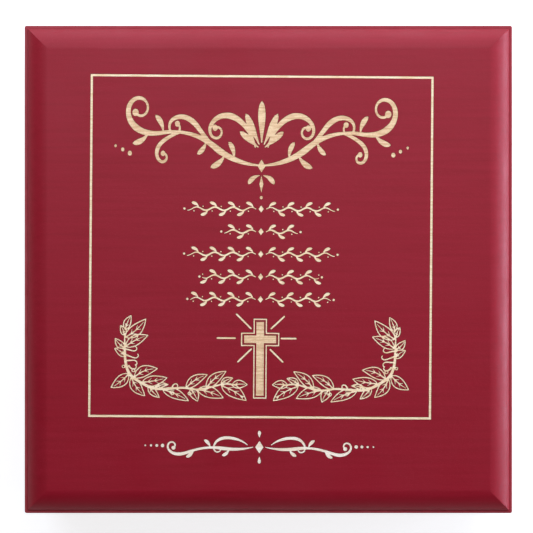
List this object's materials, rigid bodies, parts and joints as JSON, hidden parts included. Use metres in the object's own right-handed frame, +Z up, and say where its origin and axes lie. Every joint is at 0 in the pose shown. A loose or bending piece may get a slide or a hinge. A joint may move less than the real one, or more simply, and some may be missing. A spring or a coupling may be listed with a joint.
{
  "type": "wooden keepsake box",
  "caption": "Square hinged box for keepsakes with mitred sides, a cushion-moulded lid board, a velvet lining and brass stop hinges let into the back.",
  "frame": {"origin": "centre of the felt underside that the box stands on", "axes": "+Z up, +Y towards the hinged back, +X towards the box's right; lid closed"},
  "size_m": [0.2032, 0.2055, 0.0762],
  "materials": {
    "lacquered_wood": "burgundy satin lacquer",
    "velvet": "black velvet",
    "felt": "black felt",
    "brass": "polished"
  },
  "bodies": {
    "base": {"base_front_wall": "lacquered_wood", "base_back_wall": "lacquered_wood", "base_left_wall": "lacquered_wood", "base_right_wall": "lacquered_wood", "bottom_panel": "lacquered_wood", "base_felt": "felt", "floor_pad": "velvet", "front_lining": "velvet", "back_lining": "velvet", "left_lining": "velvet", "right_lining": "velvet", "left_hinge_base_leaf": "brass", "left_hinge_pin": "brass", "left_hinge_base_screws": "brass", "right_hinge_base_leaf": "brass", "right_hinge_pin": "brass", "right_hinge_base_screws": "brass"},
    "lid": {"lid_board": "lacquered_wood", "lid_front_rail": "lacquered_wood", "lid_back_rail": "lacquered_wood", "lid_left_rail": "lacquered_wood", "lid_right_rail": "lacquered_wood", "lid_pad": "velvet", "left_hinge_lid_leaf": "brass", "left_hinge_lid_screws": "brass", "right_hinge_lid_leaf": "brass", "right_hinge_lid_screws": "brass"}
  },
  "joints": [
    {"name": "lid_hinge", "type": "hinge", "parent": "base", "child": "lid", "pos_m": [0, 0.1019, 0.0512], "axis": [-1, 0, 0], "range_deg": [0, 100]}
  ]
}
